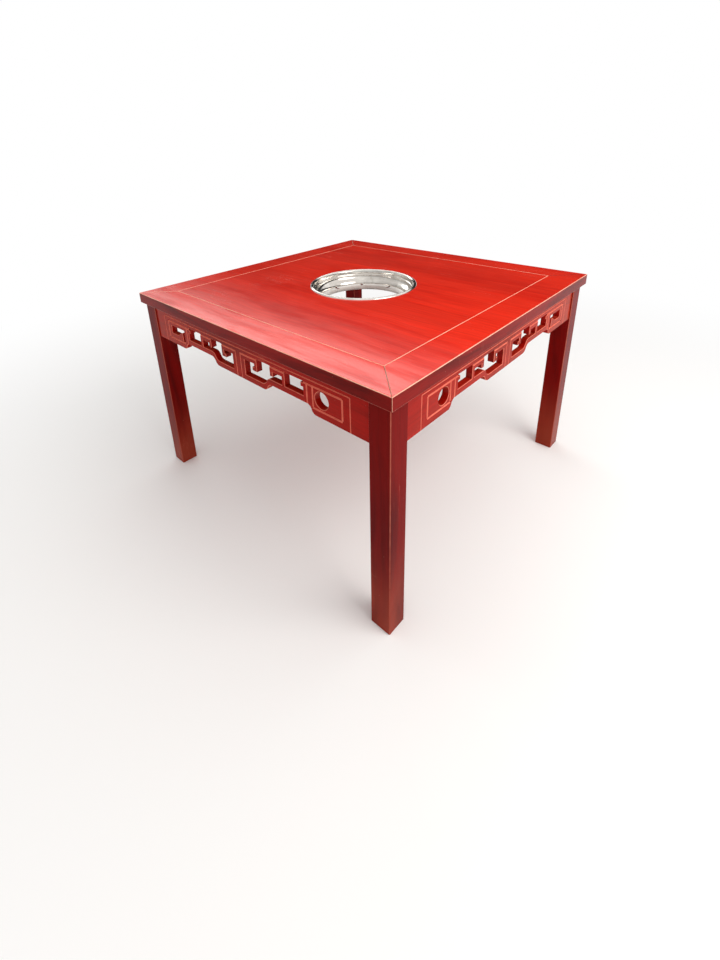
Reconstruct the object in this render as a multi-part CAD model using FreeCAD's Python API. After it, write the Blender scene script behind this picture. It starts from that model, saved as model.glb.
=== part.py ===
import FreeCAD, Part
import os
from math import copysign, hypot
from FreeCAD import Vector

# Square dining table with a mitred frame-and-panel top, four fret aprons and a drop-in steel ring.
# Millimetres, Z up, origin on the floor under the middle of the top.
# Front is -Y, back +Y, left -X, right +X.

# Overall sizes
top_side = 1200.0
table_height = 750.0
top_thickness = 38.0

# Top frame and panel
frame_width = 105.0
edge_round = 2.5
seam_depth = 1.5
panel_thickness = 18.0
panel_gap = 0.4
middle_board = 141.0
hole_land = 23.5
side_boards = 2
tongue_length = 10.0
tongue_thickness = 8.0
tongue_cover = 6.0

# Hidden wood joints
joint_gap = 0.2
mitre_tenon_thickness = 10.0
mitre_tenon_wall = 25.0
mitre_tenon_margin = 4.0
mitre_tenon_rise = 7.5
leg_tenon_height = 20.0
leg_tenon_wall = 7.0
leg_tenon_spacing = 6.5
tenon_wall = 10.0

# Battens that slide into dovetail slots under the panel
batten_width = 36.0
batten_depth = 28.0
batten_land = 58.0
dovetail_height = 6.0
dovetail_neck = 20.0
dovetail_head = 26.0
batten_tenon_thickness = 10.0
batten_tenon_length = 18.0
batten_tenon_rise = 3.0

# Legs
leg_width = 65.0
leg_inset = 14.0
leg_bevel = 2.0
foot_bevel = 1.5

# Fret aprons
apron_thickness = 20.0
apron_height = 125.0
apron_setback = 5.0
apron_tenon_thickness = 9.0
apron_tenon_margin = 16.0
end_block = 61.0
band_height = 37.0
border_drop = 25.0
base_strip = 19.0
raised_edge = 25.0
strip_width = 12.0
slot_width = 6.0
scroll_strip = 16.0
scroll_slot = 14.0
scroll_margin = 23.0
arm_setback = 162.21
tip_length = 42.0
tip_rise = 15.0
round_hole = 25.0
round_hole_margin = 4.0
carved_line = 1.8
arris = 1.5
fret_columns = 38

# Steel ring
ring_radius = 200.0
rim_width = 14.5
rim_height = 4.5
sheet = 1.2
hole_clearance = 2.0
throat_depth = 12.0
shoulder = 5.0
collar_radius = 160.0
collar_depth = 50.0
ring_depth = 72.0

# Levels and half sizes that follow from the values above
half_side = top_side / 2
half_panel = half_side - frame_width
frame_bottom = table_height - top_thickness
panel_bottom = table_height - panel_thickness
tongue_top = table_height - tongue_cover
tongue_bottom = tongue_top - tongue_thickness
leg_outer = half_side - leg_inset
leg_inner = leg_outer - leg_width
leg_centre = leg_outer - leg_width / 2
apron_face = leg_outer - apron_setback
apron_rear = apron_face - apron_thickness
apron_middle = (apron_face + apron_rear) / 2
throat_radius = ring_radius - rim_width
hole_radius = throat_radius + sheet + hole_clearance
batten_centre = hole_radius + batten_land + batten_width / 2


def block(x0, x1, y0, y1, z0, z1):
    """Box between two corners."""
    return Part.makeBox(x1 - x0, y1 - y0, z1 - z0, Vector(x0, y0, z0))


def prism(corners, depth):
    """Polygon through the corners, pushed along the depth vector."""
    return Part.Face(Part.makePolygon(corners + corners[:1])).extrude(depth)


def groove_bar(start, end, depth, normal):
    """Diamond bar along a line on a face; cut from the face it leaves a V groove this deep."""
    along = end - start
    side = along.cross(normal).normalize() * depth
    up = normal * depth
    return prism([start + side, start + up, start - side, start - up], along)


def turned(shape, quarter):
    """Copy turned by quarter turns about the table's upright axis."""
    copy = shape.copy()
    copy.rotate(Vector(0, 0, 0), Vector(0, 0, 1), 90 * quarter)
    return copy


def one_solid(shape):
    """The shape's solids with merged faces: a solid when there is one, a group when there are more."""
    clean = shape.removeSplitter()
    if len(clean.Solids) == 1:
        return clean.Solids[0]
    return Part.Compound(clean.Solids)


# Top frame: one eased slab is divided into four mitred members
def seam_bars():
    """Bars for the V grooves round the panel and along the four mitres."""
    up = Vector(0, 0, 1)
    bars = []
    for quarter in range(4):
        inner = groove_bar(Vector(-half_panel, -half_panel, table_height),
                           Vector(half_panel, -half_panel, table_height), seam_depth, up)
        mitre = groove_bar(Vector(half_panel, -half_panel, table_height),
                           Vector(half_side, -half_side, table_height), seam_depth, up)
        bars.append(turned(inner, quarter))
        bars.append(turned(mitre, quarter))
    return bars


def mitre_tenons(gap):
    """The hidden tenons at both ends of the right-hand member, each grown by the gap."""
    x0 = half_panel + mitre_tenon_margin - gap
    x1 = leg_inner - mitre_tenon_margin + gap
    z0 = frame_bottom + mitre_tenon_rise - gap
    z1 = z0 + mitre_tenon_thickness + 2 * gap
    reach = half_side - mitre_tenon_wall + gap
    near = block(x0, x1, -reach, -half_panel, z0, z1)
    far = block(x0, x1, half_panel, reach, z0, z1)
    return near.fuse(far)


def leg_tenons(gap):
    """Two stub tenons on top of the front right leg, one for each frame member above it."""
    side = leg_width / 2 - leg_tenon_wall - leg_tenon_spacing / 2
    shift = (side + leg_tenon_spacing) / 2
    pair = []
    for dx, dy in ((shift, shift), (-shift, -shift)):
        x = leg_centre + dx
        y = -leg_centre + dy
        half = side / 2 + gap
        pair.append(block(x - half, x + half, y - half, y + half,
                          frame_bottom, frame_bottom + leg_tenon_height + gap))
    return pair[0].fuse(pair[1])


def batten_tenons(gap):
    """End tenons of the right-hand batten, each grown by the gap."""
    half = dovetail_neck / 2 + gap
    z0 = frame_bottom + batten_tenon_rise - gap
    z1 = z0 + batten_tenon_thickness + 2 * gap
    reach = half_panel + batten_tenon_length + gap
    near = block(batten_centre - half, batten_centre + half, -reach, -half_panel, z0, z1)
    far = block(batten_centre - half, batten_centre + half, half_panel, reach, z0, z1)
    return near.fuse(far)


def frame_members():
    """Front, right, back and left members of the mitred frame, with their hidden joints."""
    slab = block(-half_side, half_side, -half_side, half_side, frame_bottom, table_height)
    slab = slab.makeFillet(edge_round, slab.Edges)
    reach = half_panel + tongue_length + panel_gap
    cuts = [block(-reach, reach, -reach, reach, tongue_bottom - joint_gap, tongue_top + joint_gap)]
    cuts += seam_bars()
    cuts += [turned(leg_tenons(joint_gap), quarter) for quarter in range(4)]
    outline = [Vector(-half_side, -half_side, frame_bottom),
               Vector(half_side, -half_side, frame_bottom),
               Vector(half_panel, -half_panel, frame_bottom),
               Vector(-half_panel, -half_panel, frame_bottom)]
    wedge = prism(outline, Vector(0, 0, top_thickness))
    sockets = [mitre_tenons(joint_gap), batten_tenons(joint_gap)]
    sockets += [turned(socket, 2) for socket in sockets]
    members = []
    for quarter in range(4):
        member = slab.common(turned(wedge, quarter)).cut(cuts)
        if quarter in (0, 2):
            member = member.cut(sockets)
        else:
            member = member.fuse(turned(mitre_tenons(0.0), quarter - 1))
        members.append(one_solid(member))
    return members


# Panel: tongued boards along X, with the round hole cut through the middle ones
def board_seams():
    """Seams between the boards from front to back, set out from the hole; the ends meet the frame."""
    beside_hole = hole_radius + hole_land
    side_width = (half_panel - beside_hole) / side_boards
    half = [middle_board / 2] + [beside_hole + index * side_width for index in range(side_boards + 1)]
    return [-y for y in reversed(half)] + half


def batten_key(gap):
    """Dovetail key of the right-hand batten, grown by the gap at its sides and top."""
    neck = dovetail_neck / 2 + gap
    head = dovetail_head / 2 + gap
    top = panel_bottom + dovetail_height + gap
    corners = [Vector(batten_centre - neck, -half_panel, panel_bottom),
               Vector(batten_centre + neck, -half_panel, panel_bottom),
               Vector(batten_centre + head, -half_panel, top),
               Vector(batten_centre - head, -half_panel, top)]
    return prism(corners, Vector(0, 2 * half_panel, 0))


def panel_boards():
    """Boards from front to back; a board that the hole divides gives a left and a right piece."""
    end = half_panel - panel_gap
    reach = half_panel + tongue_length
    seams = board_seams()
    last_board = len(seams) - 2
    hole = Part.makeCylinder(hole_radius, table_height, Vector(0, 0, 0))
    cuts = seam_bars() + [hole, batten_key(joint_gap), turned(batten_key(joint_gap), 2)]
    boards = {}
    for index, (y0, y1) in enumerate(zip(seams, seams[1:])):
        first = index == 0
        last = index == last_board
        front = y0 + panel_gap if first else y0
        back = y1 - panel_gap if last else y1
        tongue_front = y0 - tongue_length if first else y0
        tongue_back = y1 + tongue_length
        board = block(-end, end, front, back, panel_bottom, table_height)
        board = board.fuse(block(-reach, reach, tongue_front, back, tongue_bottom, tongue_top))
        board = board.fuse(block(-end, end, back, tongue_back, tongue_bottom, tongue_top))
        if not first:
            socket = block(-reach, reach, y0, y0 + tongue_length + joint_gap,
                           tongue_bottom - joint_gap, tongue_top + joint_gap)
            board = board.cut(socket)
        pieces = sorted(board.cut(cuts).removeSplitter().Solids, key=lambda piece: piece.CenterOfMass.x)
        name = "panel_board_%d" % (index + 1)
        if len(pieces) == 1:
            boards[name] = pieces[0]
        else:
            boards[name + "_left"] = pieces[0]
            boards[name + "_right"] = pieces[-1]
    return boards


def batten():
    """The right-hand batten: bar, dovetail key and end tenons."""
    half = batten_width / 2
    bar = block(batten_centre - half, batten_centre + half, -half_panel, half_panel,
                panel_bottom - batten_depth, panel_bottom)
    return one_solid(bar.fuse([batten_key(0.0), batten_tenons(0.0)]))


# Legs
def apron_tenons(gap):
    """End tenons of the front apron, each grown by the gap."""
    half = apron_tenon_thickness / 2 + gap
    reach = leg_outer - apron_setback - apron_thickness - tenon_wall + gap
    z0 = frame_bottom - apron_height + apron_tenon_margin - gap
    z1 = frame_bottom - apron_tenon_margin + gap
    right = block(leg_inner, reach, -apron_middle - half, -apron_middle + half, z0, z1)
    left = block(-reach, -leg_inner, -apron_middle - half, -apron_middle + half, z0, z1)
    return right.fuse(left)


def leg():
    """The front right leg, with stub tenons on top and a mortise in each inner face."""
    post = block(leg_inner, leg_outer, -leg_outer, -leg_inner, 0, frame_bottom)
    uprights = [edge for edge in post.Edges if edge.BoundBox.ZLength > leg_width]
    post = post.makeChamfer(leg_bevel, uprights)
    foot = [edge for edge in post.Edges if edge.BoundBox.ZMax < foot_bevel]
    post = post.makeChamfer(foot_bevel, foot)
    post = post.fuse(leg_tenons(0.0))
    return one_solid(post.cut([apron_tenons(joint_gap), turned(apron_tenons(joint_gap), 1)]))


# Fret apron: one board, drawn from the middle (u = 0) to the leg, v downward from the top frame
fret_half = leg_inner - end_block
fret_pitch = fret_half / fret_columns
base_top = apron_height - base_strip
raised_bottom = apron_height - raised_edge
raised_top = raised_bottom - base_strip
post_half = 2.55 * fret_pitch
hook_tip = 7.0 * fret_pitch
swell_start = 9.65 * fret_pitch
swell_end = 12.9 * fret_pitch
bow_tip = 13.05 * fret_pitch
bow_post = 17.35 * fret_pitch
arm = fret_half - arm_setback
arm_side = arm - strip_width / 2
arm_edge = arm + strip_width / 2
hang = band_height + slot_width + strip_width / 2
curl = 0.8 * strip_width
hook_drop = hang + 2.0 * strip_width
bow_drop = hang + 1.2 * strip_width
post_line = 0.4 * post_half

# Ends of the fret, between the cup's arm and the leg: a square scroll at one, a round hole at the other
end_start = arm_edge + slot_width
scroll_left = end_start + scroll_strip
drop_end = scroll_left + 2 * slot_width
scroll_edge = fret_half - scroll_margin
scroll_right = scroll_edge - slot_width - scroll_strip
scroll_foot = base_top - slot_width
scroll_base = scroll_foot - scroll_strip
tip_start = scroll_left + scroll_slot
tip_end = tip_start + tip_length
tip_top = scroll_base - tip_rise
scroll_top = tip_top - scroll_slot
groove_top = band_height + slot_width / 2
groove_bottom = base_top - slot_width / 2
groove_side = scroll_edge - slot_width / 2


def at(u, v):
    """Point on the front apron's face, v below the top frame."""
    return Vector(u, -apron_face, frame_bottom - v)


def run(*points):
    """Straight edges through the points."""
    return [Part.makeLine(at(*a), at(*b)) for a, b in zip(points, points[1:])]


def ogee(start, end):
    """S-curve of two equal arcs between two levels, level at both ends."""
    across = end[0] - start[0]
    drop = end[1] - start[1]
    length = hypot(across, drop)
    along = copysign(length / 4, across)
    down = length * (length - abs(across)) / (4 * drop)
    middle = at(start[0] + across / 2, start[1] + drop / 2)
    first = Part.Arc(at(*start), at(start[0] + along, start[1] + down), middle)
    second = Part.Arc(middle, at(end[0] - along, end[1] - down), at(*end))
    return [first.toShape(), second.toShape()]


def through(edges):
    """Closed outline pushed through the apron's thickness."""
    return Part.Face(Part.Wire(edges)).extrude(Vector(0, apron_thickness, 0))


def strip(*path):
    """Fret strip of even width along a square-cornered path."""
    half = strip_width / 2
    lengths = []
    for (u0, v0), (u1, v1) in zip(path, path[1:]):
        lengths.append(block(min(u0, u1) - half, max(u0, u1) + half, -apron_face, -apron_rear,
                             frame_bottom - max(v0, v1) - half, frame_bottom - min(v0, v1) + half))
    return lengths[0].multiFuse(lengths[1:])


def neck(u0, u1):
    """Wood between the plain band and a strip that hangs from it."""
    return block(u0, u1, -apron_face, -apron_rear, frame_bottom - hang, frame_bottom - band_height)


def mirrored(shape):
    """The shape with its left and right ends exchanged."""
    return shape.mirror(Vector(0, 0, 0), Vector(1, 0, 0))


def apron_half():
    """Right half of the fret board up to the leg: outline, open field and the strips that cross it."""
    slope = strip_width / 3
    lower = run((0, apron_height), (swell_start, apron_height))
    lower += ogee((swell_start, apron_height), (swell_end, raised_bottom))
    lower += run((swell_end, raised_bottom), (arm_edge, raised_bottom))
    lower += ogee((arm_edge, raised_bottom), (drop_end, apron_height))
    lower += run((drop_end, apron_height), (leg_inner, apron_height), (leg_inner, 0), (0, 0),
                 (0, apron_height))
    field = run((post_half, base_top), (swell_start - slope, base_top))
    field += ogee((swell_start - slope, base_top), (swell_end - slope, raised_top))
    field += run((swell_end - slope, raised_top), (arm_side, raised_top), (arm_side, band_height),
                 (post_half, band_height), (post_half, base_top))
    hook = strip((post_half, hang), (hook_tip, hang), (hook_tip, hook_drop), (hook_tip - curl, hook_drop))
    bow = strip((bow_tip, bow_drop), (bow_tip, hang), (bow_post, hang), (bow_post, raised_top))
    cup_curl = strip((arm, hang), (arm - curl, hang))
    necks = [neck(post_half, hook_tip + strip_width / 2),
             neck(bow_tip - strip_width / 2, bow_post + strip_width / 2)]
    return through(lower).cut(through(field)).multiFuse([hook, bow, cup_curl] + necks)


def scroll_opening():
    """Opening of the square scroll at the right end: it runs over the rising tip and down beside it."""
    edges = run((tip_start, tip_top), (tip_start, scroll_foot), (scroll_left, scroll_foot),
                (scroll_left, scroll_top), (scroll_right, scroll_top), (scroll_right, scroll_base),
                (tip_end, scroll_base))
    return through(edges + ogee((tip_end, scroll_base), (tip_start, tip_top)))


def round_opening():
    """Round hole at the right end, beside the upright next to the cup."""
    across = scroll_left + slot_width + round_hole_margin + round_hole
    centre = at(across, (groove_top + groove_bottom) / 2)
    return Part.makeCylinder(round_hole, apron_thickness, centre, Vector(0, 1, 0))


def carved_lines():
    """V lines on the apron's face: border, middle post, the line over the fret and round its ends."""
    outward = Vector(0, -1, 0)
    deep = slot_width / 2
    beside_arm = arm_edge + deep
    beside_hole = scroll_left + deep
    paths = [((-fret_half, border_drop), (fret_half, border_drop), carved_line),
             ((beside_hole, groove_top), (beside_hole, groove_bottom), deep)]
    for side in (-1, 1):
        paths += [((side * fret_half, border_drop), (side * fret_half, apron_height), carved_line),
                  ((side * post_line, band_height), (side * post_line, apron_height), carved_line),
                  ((side * post_line, groove_top), (side * groove_side, groove_top), deep),
                  ((side * groove_side, groove_top), (side * groove_side, groove_bottom), deep),
                  ((side * groove_side, groove_bottom), (side * scroll_left, groove_bottom), deep),
                  ((side * beside_arm, groove_top), (side * beside_arm, raised_bottom), deep)]
    return [groove_bar(at(*start), at(*end), depth, outward) for start, end, depth in paths]


def apron():
    """The front apron, with its scroll on the left: board, eased front arrises, carved lines, end tenons."""
    half = apron_half()
    board = half.fuse(mirrored(half)).cut([mirrored(scroll_opening()), round_opening()])
    board = board.removeSplitter().Solids[0]
    arrises = []
    for edge in board.Edges:
        box = edge.BoundBox
        on_face = abs(box.YMin + apron_face) < 0.01 and abs(box.YMax + apron_face) < 0.01
        inside = abs(edge.CenterOfMass.x) < leg_inner - 1 and edge.CenterOfMass.z < frame_bottom - 1
        if on_face and inside:
            arrises.append(edge)
    board = board.makeChamfer(arris, arrises)
    return one_solid(board.cut(carved_lines()).fuse(apron_tenons(0.0)))


# Steel ring: a bent sheet profile turned about the table's axis
def ring_wall(offset):
    """Corners of one side of the wall, from the table top down to the collar's end; offset is outward."""
    ledge_top = table_height - throat_depth
    neck_radius = throat_radius - shoulder
    corners = [(throat_radius, table_height), (throat_radius, ledge_top),
               (neck_radius, ledge_top - shoulder), (collar_radius, table_height - collar_depth),
               (collar_radius, table_height - ring_depth)]
    return [Vector(radius + offset, 0, level) for radius, level in corners]


def ring():
    """Drop-in ring: bevelled rim on the top, small ledge, tapering wall and a straight collar."""
    crest = table_height + rim_height
    rim = [Vector(ring_radius, 0, table_height), Vector(ring_radius - rim_height, 0, crest),
           Vector(throat_radius + rim_height, 0, crest)]
    corners = rim + ring_wall(0.0) + ring_wall(sheet)[::-1]
    profile = Part.Face(Part.makePolygon(corners + corners[:1]))
    return profile.revolve(Vector(0, 0, 0), Vector(0, 0, 1), 360)


# All pieces by node name, written one file each
def all_pieces():
    """Node names and shapes of the whole table."""
    pieces = {}
    sides = ("front", "right", "back", "left")
    corners = ("front_right", "back_right", "back_left", "front_left")
    for side, member in zip(sides, frame_members()):
        pieces["top_frame_" + side] = member
    pieces.update(panel_boards())
    right_batten = batten()
    pieces["batten_right"] = right_batten
    pieces["batten_left"] = turned(right_batten, 2)
    one_leg = leg()
    front_apron = apron()
    hands = (front_apron, mirrored(front_apron))
    for quarter in range(4):
        pieces["leg_" + corners[quarter]] = turned(one_leg, quarter)
        pieces["apron_" + sides[quarter]] = turned(hands[quarter % 2], quarter)
    pieces["pot_ring"] = ring()
    return pieces


os.makedirs("parts", exist_ok=True)
for node, shape in all_pieces().items():
    shape.exportStep(os.path.join("parts", node + ".step"))
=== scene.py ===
from math import cos, radians, sin

import bpy
import numpy as np
from mathutils import Matrix, Vector


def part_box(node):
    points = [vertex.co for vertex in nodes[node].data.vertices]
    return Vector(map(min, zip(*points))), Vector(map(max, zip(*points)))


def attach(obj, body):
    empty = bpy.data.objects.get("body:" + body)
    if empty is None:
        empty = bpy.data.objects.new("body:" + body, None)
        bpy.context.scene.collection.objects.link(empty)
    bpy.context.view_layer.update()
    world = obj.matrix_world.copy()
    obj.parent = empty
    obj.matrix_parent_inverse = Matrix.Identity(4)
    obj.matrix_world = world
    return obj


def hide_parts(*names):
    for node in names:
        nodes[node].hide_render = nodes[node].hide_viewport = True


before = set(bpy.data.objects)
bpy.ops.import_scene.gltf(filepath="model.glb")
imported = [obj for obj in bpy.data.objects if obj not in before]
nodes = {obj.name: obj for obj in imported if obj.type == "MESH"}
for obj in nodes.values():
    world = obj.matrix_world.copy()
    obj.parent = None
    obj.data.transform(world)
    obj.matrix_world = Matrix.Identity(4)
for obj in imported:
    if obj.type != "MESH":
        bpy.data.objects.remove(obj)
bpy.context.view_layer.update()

# Viewpoint of the photograph: metres, degrees and pixels of a 720 by 960 image
image_width = 720
image_height = 960
sensor = 36.0
focal_pixels = 468.0
axis_column = 334.0
axis_row = 324.2
camera_place = Vector((1.1234, -1.2845, 1.2530))
view_azimuth = radians(45.08)
view_elevation = radians(21.29)
view_roll = radians(-2.394)

# Levels and places read from the frame
top_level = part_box("top_frame_front")[1].z
seam_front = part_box("panel_board_2")[0].y
board_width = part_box("panel_board_3")[0].y - seam_front
ring_low, ring_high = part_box("pot_ring")

# Steel ring, in metres
rim_width = 0.0145
sheet = 0.0012
throat_depth = 0.012
ledge = 0.005
collar_radius = 0.160
collar_depth = 0.050
dent = 0.0005

# Points along the ring's profile, and columns round it
rim_points = 25
ledge_points = 9
taper_points = 15
ring_columns = 288

# Lacquer colours, bright and deep: top, outer edge of the top (painted shade), aprons and legs; then lines,
# painted edge highlights and marks of use
top_red = ((0.86, 0.026, 0.007, 1.0), (0.64, 0.015, 0.005, 1.0))
# The top's outer edge is the top's own lacquer, painted much darker as painted shade on its upright faces
rim_red_painted_shade = ((0.24, 0.006, 0.004, 1.0), (0.09, 0.003, 0.002, 1.0))
apron_red = ((0.38, 0.006, 0.003, 1.0), (0.23, 0.004, 0.002, 1.0))
leg_red = ((0.19, 0.003, 0.002, 1.0), (0.10, 0.002, 0.002, 1.0))
sheen_tan = (1.0, 0.36, 0.17, 1.0)
# Pale colour of the top: a line in its grooves, a painted highlight on its rounded edges
seam_line_and_highlight = (1.0, 0.52, 0.38, 1.0)
mitre_line = (0.10, 0.008, 0.005, 1.0)
# Pale colour of the aprons: a line in the V-grooves, a painted highlight on the arrises of the openings
carved_line_and_highlight = (0.85, 0.22, 0.15, 1.0)
# Pale colour of the legs' rounded edges, part wear and part painted highlight; the scratches take it too
worn_edge_and_highlight = (0.62, 0.18, 0.12, 1.0)
# Paler colour low on the legs: part scuffing, part painted sheen
foot_scuff_and_sheen = (0.33, 0.052, 0.026, 1.0)
dust = (0.78, 0.42, 0.33, 1.0)
thin_stain = (0.20, 0.045, 0.025, 1.0)
bare_wood = (0.46, 0.27, 0.14, 1.0)
bare_wood_dark = (0.27, 0.14, 0.065, 1.0)

# Gloss of the lacquer: mirror share of the wood and of the legs, clear coat of the top, sheen of the aprons
lacquer_ior = 1.46
wood_gloss = 0.06
leg_gloss = 0.04
top_coat = 0.95
coat_roughness = 0.07
apron_sheen = 1.0
sheen_roughness = 0.3

# Steel colours: dark and bright smears that are partly painted reflection patches, dull spots; and turned
# lines in each metre
steel_dark_smear_and_reflection = (0.66, 0.62, 0.58, 1.0)
steel_bright_smear_and_reflection = (0.90, 0.87, 0.82, 1.0)
steel_spot = (0.42, 0.38, 0.33, 1.0)
turned_lines = 900.0

# Stage: floor, sky, wall, window and lamp, in metres and watts
floor_half = 14.0
floor_fade = (0.9, 3.2)
floor_grey = (0.92, 0.92, 0.92, 1.0)
pure_white = (1.0, 1.0, 1.0, 1.0)
sky_colour = (1.0, 0.985, 0.965, 1.0)
sky_levels = (0.48, 0.92)
wall_level = 0.05
window_level = 2.1
lamp_place = (2.3, 0.0, 2.2)
lamp_size = 2.2
lamp_watts = 44.0
lamp_colour = (1.0, 0.97, 0.93)

# Direction of the grain as a turn that brings it onto X
along_x = (0.0, 0.0, 0.0)
along_y = (0.0, 0.0, radians(-90))
along_z = (0.0, radians(90), 0.0)


# Small helpers for node trees
def add(tree, kind, inputs=None, **settings):
    """Adds a shader node; each input is a value or a socket to link from."""
    made = tree.nodes.new(kind)
    for name, value in settings.items():
        setattr(made, name, value)
    for name, value in (inputs or {}).items():
        if isinstance(value, bpy.types.NodeSocket):
            tree.links.new(value, made.inputs[name])
        else:
            made.inputs[name].default_value = value
    return made


def maths(tree, operation, first, second=0.0, third=0.0):
    """One Math node."""
    return add(tree, "ShaderNodeMath", {0: first, 1: second, 2: third}, operation=operation).outputs[0]


def vectors(tree, operation, first, second):
    """One Vector Math node with a vector result."""
    return add(tree, "ShaderNodeVectorMath", {0: first, 1: second}, operation=operation).outputs["Vector"]


def spread(tree, value, low, high, to_low=0.0, to_high=1.0):
    """Smooth step of a value from one range to another, held at both ends."""
    inputs = {"Value": value, "From Min": low, "From Max": high, "To Min": to_low, "To Max": to_high}
    return add(tree, "ShaderNodeMapRange", inputs, interpolation_type="SMOOTHSTEP").outputs["Result"]


def noise(tree, vector, scale, detail=2.0, roughness=0.5, distortion=0.0):
    """One Noise Texture value, about 0.3 to 0.7."""
    inputs = {"Vector": vector, "Scale": scale, "Detail": detail, "Roughness": roughness,
              "Distortion": distortion}
    return add(tree, "ShaderNodeTexNoise", inputs).outputs["Fac"]


def blend(tree, amount, first, second, how="MIX"):
    """Mixes two colours by an amount."""
    made = add(tree, "ShaderNodeMix", data_type="RGBA", blend_type=how)
    for socket, value in zip((made.inputs[0], made.inputs[6], made.inputs[7]), (amount, first, second)):
        if isinstance(value, bpy.types.NodeSocket):
            tree.links.new(value, socket)
        else:
            socket.default_value = value
    return made.outputs[2]


def new_group(name, inputs, outputs):
    """An empty node group with named sockets; gives the tree, its inputs and its output node."""
    tree = bpy.data.node_groups.new(name, "ShaderNodeTree")
    for socket, kind in inputs:
        tree.interface.new_socket(socket, in_out="INPUT", socket_type=kind)
    for socket, kind in outputs:
        tree.interface.new_socket(socket, in_out="OUTPUT", socket_type=kind)
    return tree, tree.nodes.new("NodeGroupInput").outputs, tree.nodes.new("NodeGroupOutput")


def new_material(name):
    """An empty material with its surface output; gives the material, its tree and a Principled shader."""
    material = bpy.data.materials.new(name)
    material.use_nodes = True
    tree = material.node_tree
    tree.nodes.clear()
    shader = tree.nodes.new("ShaderNodeBsdfPrincipled")
    output = tree.nodes.new("ShaderNodeOutputMaterial")
    tree.links.new(shader.outputs["BSDF"], output.inputs["Surface"])
    return material, tree, shader


# Effects that several materials share
def make_grain():
    """Wood grain along X under lacquer: long streaks, fine lines, pores and slow clouds of stain."""
    tree, given, out = new_group("wood_grain", [("Coordinate", "NodeSocketVector")],
                                 [("Streak", "NodeSocketFloat"), ("Line", "NodeSocketFloat"),
                                  ("Pore", "NodeSocketFloat"), ("Cloud", "NodeSocketFloat")])
    place = given["Coordinate"]
    wander = add(tree, "ShaderNodeTexNoise", {"Vector": place, "Scale": 2.4, "Detail": 2.0}).outputs["Color"]
    sway = vectors(tree, "MULTIPLY", vectors(tree, "SUBTRACT", wander, (0.5, 0.5, 0.5)), (0.0, 0.05, 0.05))
    bent = vectors(tree, "ADD", place, sway)
    streak = noise(tree, vectors(tree, "MULTIPLY", bent, (2.8, 32.0, 32.0)), 1.0, 4.0, 0.58, 0.35)
    line = noise(tree, vectors(tree, "MULTIPLY", bent, (4.0, 170.0, 170.0)), 1.0, 3.0, 0.6)
    pore = noise(tree, vectors(tree, "MULTIPLY", bent, (26.0, 900.0, 900.0)), 1.0, 1.0)
    cloud = noise(tree, vectors(tree, "MULTIPLY", bent, (2.2, 7.0, 7.0)), 1.0, 3.0, 0.55)
    tree.links.new(streak, out.inputs["Streak"])
    tree.links.new(line, out.inputs["Line"])
    tree.links.new(spread(tree, pore, 0.60, 0.70), out.inputs["Pore"])
    tree.links.new(cloud, out.inputs["Cloud"])
    return tree


def make_edges():
    """Mask of eased edges and V lines: faces that lean between an axis and its square, broken by rubbing; its
    pale lines are part groove line and wear, part painted highlight.
    """
    tree, given, out = new_group("eased_edges", [("First axis", "NodeSocketVector"),
                                                 ("Second axis", "NodeSocketVector")],
                                 [("Edge", "NodeSocketFloat")])
    place = tree.nodes.new("ShaderNodeTexCoord").outputs
    leans = []
    for axis in ("First axis", "Second axis"):
        facing = add(tree, "ShaderNodeVectorMath", {0: place["Normal"], 1: given[axis]},
                     operation="DOT_PRODUCT").outputs["Value"]
        facing = maths(tree, "ABSOLUTE", facing)
        leans.append(maths(tree, "MULTIPLY", spread(tree, facing, 0.20, 0.45),
                           spread(tree, facing, 0.86, 0.97, 1.0, 0.0)))
    lean = maths(tree, "MAXIMUM", leans[0], leans[1])
    rubbed = spread(tree, noise(tree, place["Object"], 38.0, 3.0, 0.6), 0.34, 0.62, 0.75, 1.0)
    tree.links.new(maths(tree, "MULTIPLY", lean, rubbed), out.inputs["Edge"])
    return tree


def make_marks():
    """Marks of use: fine scratches as thin bands of a stretched noise, and specks of dust."""
    tree, given, out = new_group("marks_of_use", [("Coordinate", "NodeSocketVector")],
                                 [("Scratch", "NodeSocketFloat"), ("Speck", "NodeSocketFloat")])
    place = given["Coordinate"]
    slant = (radians(28), radians(20), radians(34))
    turned = add(tree, "ShaderNodeMapping", {"Vector": place, "Rotation": slant,
                                             "Scale": (3.0, 42.0, 3.0)}).outputs["Vector"]
    band = maths(tree, "ABSOLUTE", maths(tree, "SUBTRACT", noise(tree, turned, 1.0, 4.0, 0.6), 0.5))
    patches = spread(tree, noise(tree, place, 5.0, 2.0), 0.52, 0.66)
    scratch = maths(tree, "MULTIPLY", spread(tree, band, 0.0, 0.012, 1.0, 0.0), patches)
    cells = add(tree, "ShaderNodeTexVoronoi", {"Vector": place, "Scale": 55.0}).outputs["Distance"]
    rare = spread(tree, noise(tree, place, 21.0, 1.0), 0.56, 0.64)
    speck = maths(tree, "MULTIPLY", spread(tree, cells, 0.03, 0.08, 1.0, 0.0), rare)
    tree.links.new(scratch, out.inputs["Scratch"])
    tree.links.new(speck, out.inputs["Speck"])
    return tree


grain_effect = make_grain()
edge_effect = make_edges()
mark_effect = make_marks()


def along_grain(tree, turn):
    """Object coordinates turned so that the grain lies on X."""
    place = tree.nodes.new("ShaderNodeTexCoord").outputs["Object"]
    return add(tree, "ShaderNodeMapping", {"Vector": place, "Rotation": turn}).outputs["Vector"]


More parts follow.
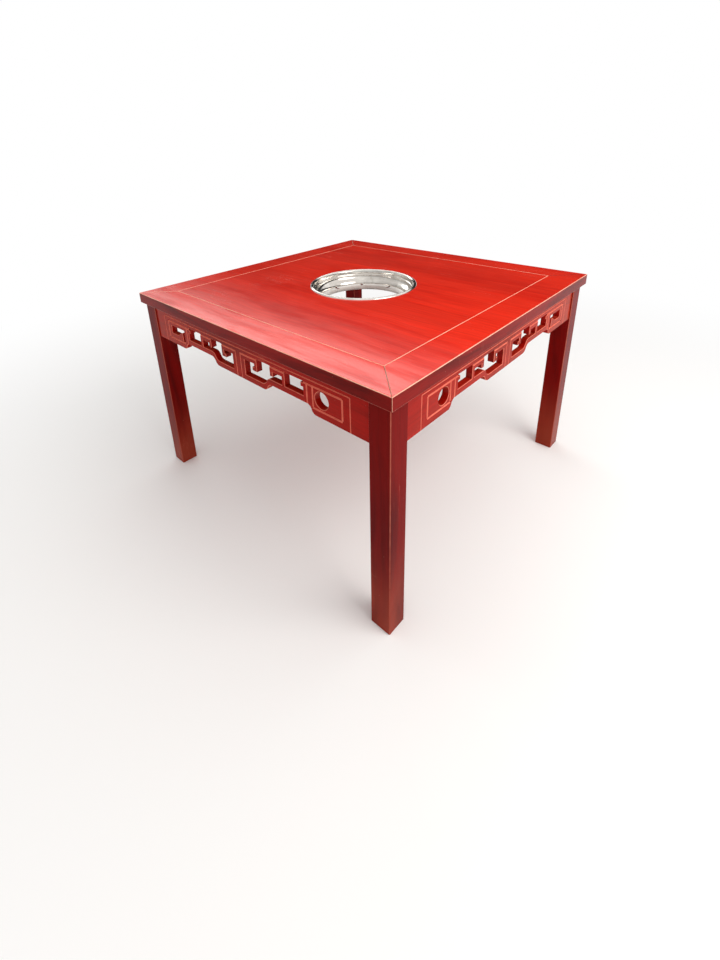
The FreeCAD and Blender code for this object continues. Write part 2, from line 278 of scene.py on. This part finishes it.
def lacquer(name, turn, edge_axes, face, line, gloss, coat=0.0, sheen=0.0, rim=None, boards=False,
            mitres=False, feet=False):
    """Red lacquer over stained wood: grain along the turned X, pale lines and arrises that are part wear and
    part painted highlight, thin stain underneath. Face and rim are pairs of bright and deep; rim, with its
    own turn, is for upright faces and is painted darker as painted shade; line is a colour and its amount;
    boards differ a little, mitres are dark lines and feet grow paler toward the floor, part scuffing and part
    painted sheen;
    sheen is the amount of tan at a grazing angle."""
    material, tree, shader = new_material(name)
    place = tree.nodes.new("ShaderNodeTexCoord").outputs
    leaning = add(tree, "ShaderNodeSeparateXYZ", {"Vector": place["Normal"]}).outputs
    under = spread(tree, leaning["Z"], -0.9, -0.6, 1.0, 0.0)
    turned = along_grain(tree, turn)
    bright, deep = face
    if rim:
        # Upright faces of the top take the darker rim colour: painted shade
        upright = spread(tree, maths(tree, "ABSOLUTE", leaning["Z"]), 0.35, 0.75, 1.0, 0.0)
        bright = blend(tree, upright, face[0], rim[0])
        deep = blend(tree, upright, face[1], rim[1])
        turned = blend(tree, upright, turned, along_grain(tree, rim[2]))
    grain = add(tree, "ShaderNodeGroup", {"Coordinate": turned}, node_tree=grain_effect).outputs
    edge = add(tree, "ShaderNodeGroup", {"First axis": edge_axes[0], "Second axis": edge_axes[1]},
               node_tree=edge_effect).outputs["Edge"]
    marks = add(tree, "ShaderNodeGroup", {"Coordinate": place["Object"]}, node_tree=mark_effect).outputs

    figure = maths(tree, "MULTIPLY_ADD", grain["Streak"], 0.5, maths(tree, "MULTIPLY", grain["Cloud"], 0.5))
    colour = blend(tree, spread(tree, figure, 0.34, 0.56), deep, bright)
    lines = spread(tree, grain["Line"], 0.34, 0.66, 0.88, 1.04)
    if boards:
        across = add(tree, "ShaderNodeSeparateXYZ", {"Vector": place["Object"]}).outputs["Y"]
        index = maths(tree, "DIVIDE", maths(tree, "SUBTRACT", across, seam_front), board_width)
        index = maths(tree, "FLOOR", index)
        chance = add(tree, "ShaderNodeTexWhiteNoise", {"W": index}, noise_dimensions="1D").outputs["Value"]
        lines = maths(tree, "MULTIPLY", lines, spread(tree, chance, 0.0, 1.0, 0.92, 1.03))
    shade = add(tree, "ShaderNodeCombineColor", {"Red": lines, "Green": lines, "Blue": lines})
    colour = blend(tree, 1.0, colour, shade.outputs["Color"], "MULTIPLY")
    colour = blend(tree, maths(tree, "MULTIPLY", grain["Pore"], 0.25), colour, deep)
    line_colour, line_amount = line
    if mitres:
        slanted = maths(tree, "ABSOLUTE", maths(tree, "MULTIPLY", leaning["X"], leaning["Y"]))
        line_colour = blend(tree, spread(tree, slanted, 0.05, 0.15), line_colour, mitre_line)
    if feet:
        level = add(tree, "ShaderNodeSeparateXYZ", {"Vector": place["Object"]}).outputs["Z"]
        line_amount = spread(tree, level, 0.08, 0.45, 0.4 * line_amount, line_amount)
        # Legs grow paler toward the floor: scuffing and painted sheen
        scuff_and_sheen = maths(tree, "MULTIPLY", spread(tree, level, 0.02, 0.34, 0.70, 0.0),
                        spread(tree, grain["Cloud"], 0.30, 0.62, 0.35, 1.0))
        colour = blend(tree, scuff_and_sheen, colour, foot_scuff_and_sheen)
    # On the top's frame, edges facing down get only a fifth of the pale line and painted highlight
    if rim:
        edge = maths(tree, "MULTIPLY", edge, spread(tree, leaning["Z"], -0.5, -0.2, 0.2, 1.0))
    # Pale colour on grooves and rounded edges: part groove line and wear, part painted highlight
    colour = blend(tree, maths(tree, "MULTIPLY", edge, line_amount), colour, line_colour)
    colour = blend(tree, maths(tree, "MULTIPLY", marks["Scratch"], 0.14), colour, worn_edge_and_highlight)
    colour = blend(tree, maths(tree, "MULTIPLY", marks["Speck"], 0.30), colour, dust)
    colour = blend(tree, maths(tree, "MULTIPLY", under, 0.7), colour, thin_stain)
    tree.links.new(colour, shader.inputs["Base Color"])

    dull = maths(tree, "MULTIPLY_ADD", edge, 0.18, spread(tree, grain["Cloud"], 0.35, 0.65, 0.10, 0.17))
    dull = maths(tree, "MULTIPLY_ADD", under, 0.30, dull)
    dull = maths(tree, "MULTIPLY_ADD", marks["Scratch"], 0.15, dull)
    tree.links.new(dull, shader.inputs["Roughness"])

    ripple = noise(tree, turned, 9.0, 1.0)
    relief = maths(tree, "MULTIPLY_ADD", grain["Line"], 0.16, ripple)
    relief = maths(tree, "MULTIPLY_ADD", grain["Pore"], -0.06, relief)
    relief = maths(tree, "MULTIPLY_ADD", marks["Scratch"], -0.03, relief)
    bump = add(tree, "ShaderNodeBump", {"Strength": 0.16, "Distance": 0.0016, "Height": relief})
    tree.links.new(bump.outputs["Normal"], shader.inputs["Normal"])
    shader.inputs["IOR"].default_value = lacquer_ior
    shader.inputs["Specular IOR Level"].default_value = gloss
    shader.inputs["Sheen Weight"].default_value = sheen
    shader.inputs["Sheen Tint"].default_value = sheen_tan
    shader.inputs["Sheen Roughness"].default_value = sheen_roughness
    if coat:
        cover = spread(tree, leaning["Z"], 0.5, 0.9, 0.0, coat)
        cover = maths(tree, "MULTIPLY", cover, spread(tree, grain["Streak"], 0.34, 0.58, 0.45, 1.0))
        tree.links.new(cover, shader.inputs["Coat Weight"])
        shader.inputs["Coat Roughness"].default_value = coat_roughness
        shader.inputs["Coat IOR"].default_value = lacquer_ior
    return material


def plain_wood(name, turn):
    """Unlacquered batten wood: pale and darker streaks, pores and a dry surface."""
    material, tree, shader = new_material(name)
    turned = along_grain(tree, turn)
    grain = add(tree, "ShaderNodeGroup", {"Coordinate": turned}, node_tree=grain_effect).outputs
    figure = maths(tree, "MULTIPLY_ADD", grain["Streak"], 0.6, maths(tree, "MULTIPLY", grain["Line"], 0.4))
    colour = blend(tree, spread(tree, figure, 0.36, 0.62), bare_wood_dark, bare_wood)
    colour = blend(tree, maths(tree, "MULTIPLY", grain["Pore"], 0.5), colour, bare_wood_dark)
    tree.links.new(colour, shader.inputs["Base Color"])
    tree.links.new(spread(tree, grain["Line"], 0.3, 0.7, 0.55, 0.75), shader.inputs["Roughness"])
    relief = maths(tree, "MULTIPLY_ADD", grain["Pore"], -0.6, grain["Line"])
    bump = add(tree, "ShaderNodeBump", {"Strength": 0.3, "Distance": 0.0006, "Height": relief})
    tree.links.new(bump.outputs["Normal"], shader.inputs["Normal"])
    return material


def polished_steel(name):
    """Pressed and polished steel: fine turned rings, slow smears that partly stand for painted reflection
    patches, and a few dull spots.
    """
    material, tree, shader = new_material(name)
    place = tree.nodes.new("ShaderNodeTexCoord").outputs
    parts = add(tree, "ShaderNodeSeparateXYZ", {"Vector": place["Object"]}).outputs
    flat = add(tree, "ShaderNodeCombineXYZ", {"X": parts["X"], "Y": parts["Y"], "Z": 0.0}).outputs["Vector"]
    radius = add(tree, "ShaderNodeVectorMath", {0: flat}, operation="LENGTH").outputs["Value"]
    outward = maths(tree, "MULTIPLY", radius, turned_lines)
    upward = maths(tree, "MULTIPLY", parts["Z"], turned_lines)
    turning = add(tree, "ShaderNodeCombineXYZ", {"X": outward, "Y": upward}).outputs["Vector"]
    rings = noise(tree, turning, 1.0, 2.0)
    smear_and_reflection = noise(tree, place["Object"], 11.0, 4.0, 0.6, 0.6)
    spots = spread(tree, noise(tree, place["Object"], 70.0, 2.0), 0.60, 0.70)
    # Dark and bright smears in the colour: smudges and painted reflection patches
    colour = blend(tree, spread(tree, smear_and_reflection, 0.36, 0.64), steel_dark_smear_and_reflection, steel_bright_smear_and_reflection)
    colour = blend(tree, maths(tree, "MULTIPLY", spots, 0.25), colour, steel_spot)
    tree.links.new(colour, shader.inputs["Base Color"])
    rough = maths(tree, "MULTIPLY_ADD", rings, 0.02, spread(tree, smear_and_reflection, 0.35, 0.68, 0.07, 0.14))
    rough = maths(tree, "MULTIPLY_ADD", spots, 0.06, rough)
    tree.links.new(rough, shader.inputs["Roughness"])
    relief = noise(tree, place["Object"], 11.0, 0.0)
    bump = add(tree, "ShaderNodeBump", {"Strength": 0.35, "Distance": 0.004, "Height": relief})
    tree.links.new(bump.outputs["Normal"], shader.inputs["Normal"])
    shader.inputs["Metallic"].default_value = 1.0
    return material


# Steel ring as one smooth turned sheet
def arc(centre_radius, centre_level, size, start, end, count):
    """Points on a circle arc of the ring's profile, angles in degrees from outward, anticlockwise."""
    angle = np.radians(np.linspace(start, end, count))
    return np.stack([centre_radius + size * np.cos(angle), centre_level + size * np.sin(angle)], 1)


def double_bend(radius, level, across, down, offset, count):
    """Two equal arcs that carry the wall in by across and down, upright at both ends; offset is outward."""
    bend = (across ** 2 + down ** 2) / (4 * across)
    turn = np.degrees(2 * np.arctan2(across, down))
    upper = arc(radius - bend, level, bend + offset, 0, -turn, count)
    lower = arc(radius - across + bend, level - down, bend - offset, 180 - turn, 180, count)
    return np.concatenate([upper, lower[1:]])


def ring_profile():
    """Closed outline of the sheet: domed rim, throat, ledge, taper and collar, then back up the outside."""
    outer = ring_high.x
    throat = outer - rim_width
    dome = ring_high.z - top_level
    bow = ((rim_width / 2) ** 2 + dome ** 2) / (2 * dome)
    lean = np.degrees(np.arcsin(rim_width / 2 / bow))
    rim = arc(outer - rim_width / 2, ring_high.z - bow, bow, 90 - lean, 90 + lean, rim_points)
    ledge_top = top_level - throat_depth
    taper_top = ledge_top - ledge
    taper_drop = collar_depth - throat_depth - ledge
    taper_in = throat - ledge - collar_radius
    sides = []
    for offset in (0.0, sheet):
        sides.append(np.concatenate([
            double_bend(throat, ledge_top, ledge, ledge, offset, ledge_points),
            double_bend(throat - ledge, taper_top, taper_in, taper_drop, offset, taper_points)[1:],
            [[collar_radius + offset, ring_low.z]]]))
    seat = [[throat + sheet, top_level]]
    return np.concatenate([rim, sides[0], sides[1][::-1], seat])


def turned_ring(name, steps=ring_columns):
    """Profile carried round the upright axis: point (r, z) at angle a is (r cos a, r sin a, z).
    A slow wave in r, strongest half way down, gives the slight dents of thin pressed sheet."""
    profile = ring_profile()
    rows = len(profile)
    angle = np.linspace(0.0, 2 * np.pi, steps, endpoint=False)[:, None]
    radius, level = profile[None, :, 0], profile[None, :, 1]
    depth = np.clip((top_level - level) / (top_level - ring_low.z), 0.0, 1.0)
    wave = np.sin(5 * angle + 0.6) + 0.6 * np.sin(11 * angle + 2.1)
    radius = radius + dent * np.sin(np.pi * depth) * wave
    points = np.stack([radius * np.cos(angle), radius * np.sin(angle), level + 0.0 * angle], 2)
    column = np.arange(steps)[:, None]
    row = np.arange(rows)[None, :]
    here = column * rows + row
    below = column * rows + (row + 1) % rows
    beside = (column + 1) % steps * rows + row
    beyond = (column + 1) % steps * rows + (row + 1) % rows
    faces = np.stack([here, below, beyond, beside], 2).reshape(-1, 4)
    mesh = bpy.data.meshes.new(name)
    mesh.from_pydata(points.reshape(-1, 3).tolist(), [], faces.tolist())
    mesh.polygons.foreach_set("use_smooth", np.ones(len(mesh.polygons), dtype=bool))
    mesh.update()
    piece = bpy.data.objects.new(name, mesh)
    bpy.context.scene.collection.objects.link(piece)
    return piece


# Finishes on the pieces of the frame
def finish_node(name, material):
    """Gives a node of the frame one material."""
    nodes[name].data.materials.clear()
    nodes[name].data.materials.append(material)


def finish_table():
    """Every wooden node gets the finish of its place and grain direction."""
    up, across, along = (0, 0, 1), (1, 0, 0), (0, 1, 0)
    # Pale lines of each finish: lines and wear in grooves and on edges, with painted highlights on the
    # rounded edges
    seam_and_highlight, worn_and_highlight, carved_and_highlight = (seam_line_and_highlight, 1.0), (worn_edge_and_highlight, 0.55), (carved_line_and_highlight, 0.85)
    panel = lacquer("panel_lacquer", along_x, (up, up), top_red, seam_and_highlight, wood_gloss, top_coat, boards=True)
    frame_x = lacquer("frame_lacquer_long", along_x, (up, across), top_red, seam_and_highlight, wood_gloss, top_coat,
                      rim=(*rim_red_painted_shade, along_x), mitres=True)
    frame_y = lacquer("frame_lacquer_cross", along_x, (up, across), top_red, seam_and_highlight, wood_gloss, top_coat,
                      rim=(*rim_red_painted_shade, along_y))
    leg = lacquer("leg_lacquer", along_z, (across, up), leg_red, worn_and_highlight, leg_gloss, feet=True)
    apron_x = lacquer("apron_lacquer_long", along_x, (along, along), apron_red, carved_and_highlight, wood_gloss,
                      sheen=apron_sheen)
    apron_y = lacquer("apron_lacquer_cross", along_y, (across, across), apron_red, carved_and_highlight, wood_gloss,
                      sheen=apron_sheen)
    batten = plain_wood("batten_wood", along_y)
    for name in nodes:
        if name.startswith("panel_board"):
            finish_node(name, panel)
        elif name.startswith("leg"):
            finish_node(name, leg)
        elif name.startswith("batten"):
            finish_node(name, batten)
    for side in ("front", "back"):
        finish_node("top_frame_" + side, frame_x)
        finish_node("apron_" + side, apron_x)
    for side in ("left", "right"):
        finish_node("top_frame_" + side, frame_y)
        finish_node("apron_" + side, apron_y)


def place_ring():
    """The turned ring stands for the frame's ring and lifts out with it."""
    steel = polished_steel("ring_steel")
    finish_node("pot_ring", steel)
    piece = turned_ring("steel_ring")
    piece.data.materials.append(steel)
    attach(piece, "ring")
    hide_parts("pot_ring")


# Stage: floor, light and camera
def pale_floor():
    """A wide pale floor that keeps the table's shadow and runs out into white."""
    corners = [(x * floor_half, y * floor_half, 0.0) for x, y in ((-1, -1), (1, -1), (1, 1), (-1, 1))]
    mesh = bpy.data.meshes.new("floor")
    mesh.from_pydata(corners, [], [(0, 1, 2, 3)])
    floor = bpy.data.objects.new("floor", mesh)
    bpy.context.scene.collection.objects.link(floor)
    material, tree, shader = new_material("floor_paint")
    place = tree.nodes.new("ShaderNodeTexCoord").outputs
    shader.inputs["Base Color"].default_value = floor_grey
    shader.inputs["Roughness"].default_value = 0.9
    shader.inputs["Specular IOR Level"].default_value = 0.1
    far = add(tree, "ShaderNodeVectorMath", {0: place["Object"]}, operation="LENGTH").outputs["Value"]
    far = spread(tree, far, *floor_fade)
    path = tree.nodes.new("ShaderNodeLightPath").outputs
    seen = maths(tree, "MAXIMUM", path["Is Glossy Ray"], path["Is Transmission Ray"])
    shown = maths(tree, "MULTIPLY", far, maths(tree, "MAXIMUM", path["Is Camera Ray"], seen))
    white = add(tree, "ShaderNodeEmission", {"Color": pure_white, "Strength": 1.0})
    mixed = add(tree, "ShaderNodeMixShader", {0: shown, 1: shader.outputs[0], 2: white.outputs[0]})
    output = [made for made in tree.nodes if made.bl_idname == "ShaderNodeOutputMaterial"][0]
    tree.links.new(mixed.outputs["Shader"], output.inputs["Surface"])
    mesh.materials.append(material)


def studio_world():
    """White behind the table; for light a soft sky, brighter to the right, a dark wall low at the back
    and a window over the left that shows in the front of the top."""
    world = bpy.data.worlds.new("studio")
    world.use_nodes = True
    bpy.context.scene.world = world
    tree = world.node_tree
    tree.nodes.clear()
    place = tree.nodes.new("ShaderNodeTexCoord").outputs["Generated"]
    parts = add(tree, "ShaderNodeSeparateXYZ", {"Vector": place}).outputs
    over_wall = maths(tree, "MULTIPLY_ADD", parts["Y"], -0.5, parts["Z"])
    sky = maths(tree, "MULTIPLY", spread(tree, parts["Z"], 0.0, 0.7, *sky_levels),
                maths(tree, "MULTIPLY_ADD", maths(tree, "ADD", parts["X"], parts["Y"]), 0.2, 1.0))
    sky = maths(tree, "MULTIPLY", sky, spread(tree, over_wall, -0.02, 0.12, wall_level, 1.0))
    window = maths(tree, "MULTIPLY", spread(tree, over_wall, 0.05, 0.16, 0.0, window_level),
                   spread(tree, parts["Z"], 0.50, 0.62, 1.0, 0.0))
    window = maths(tree, "MULTIPLY", window, spread(tree, parts["X"], -0.55, -0.25, 1.0, 0.0))
    window = maths(tree, "MULTIPLY", window, spread(tree, parts["Y"], 0.05, 0.30))
    strength = maths(tree, "ADD", sky, window)
    light = add(tree, "ShaderNodeBackground", {"Color": sky_colour, "Strength": strength})
    white = add(tree, "ShaderNodeBackground", {"Color": pure_white, "Strength": 1.0})
    path = tree.nodes.new("ShaderNodeLightPath").outputs
    seen = maths(tree, "MAXIMUM", path["Is Glossy Ray"], path["Is Transmission Ray"])
    seen = maths(tree, "MULTIPLY", seen, spread(tree, parts["Z"], 0.02, 0.10, 1.0, 0.0))
    shown = maths(tree, "MAXIMUM", path["Is Camera Ray"], seen)
    mixed = add(tree, "ShaderNodeMixShader", {0: shown, 1: light.outputs[0], 2: white.outputs[0]})
    output = tree.nodes.new("ShaderNodeOutputWorld")
    tree.links.new(mixed.outputs["Shader"], output.inputs["Surface"])


def side_lamp():
    """One soft lamp high on the right, aimed at the top."""
    light = bpy.data.lights.new("side_lamp", "AREA")
    light.shape = "DISK"
    light.size = lamp_size
    light.energy = lamp_watts
    light.color = lamp_colour
    lamp = bpy.data.objects.new("side_lamp", light)
    lamp.location = lamp_place
    aim = Vector((0.0, 0.0, top_level)) - lamp.location
    lamp.rotation_euler = aim.to_track_quat("-Z", "Y").to_euler()
    bpy.context.scene.collection.objects.link(lamp)


def photo_camera():
    """Camera at the photograph's viewpoint, its axis moved in the frame by the lens shift."""
    back = Vector((sin(view_azimuth) * cos(view_elevation), -cos(view_azimuth) * cos(view_elevation),
                   sin(view_elevation)))
    right = Vector((0, 0, 1)).cross(back).normalized()
    up = back.cross(right)
    turned_right = right * cos(view_roll) + up * sin(view_roll)
    turned_up = up * cos(view_roll) - right * sin(view_roll)
    lens = bpy.data.cameras.new("camera")
    lens.sensor_width = sensor
    lens.lens = focal_pixels / image_height * sensor
    lens.shift_x = (image_width / 2 - axis_column) / image_height
    lens.shift_y = (axis_row - image_height / 2) / image_height
    camera = bpy.data.objects.new("camera", lens)
    turn = Matrix((turned_right, turned_up, back)).transposed().to_4x4()
    camera.matrix_world = Matrix.Translation(camera_place) @ turn
    bpy.context.scene.collection.objects.link(camera)
    bpy.context.scene.camera = camera


finish_table()
place_ring()
pale_floor()
studio_world()
side_lamp()
photo_camera()
bpy.context.scene.view_settings.view_transform = "Standard"
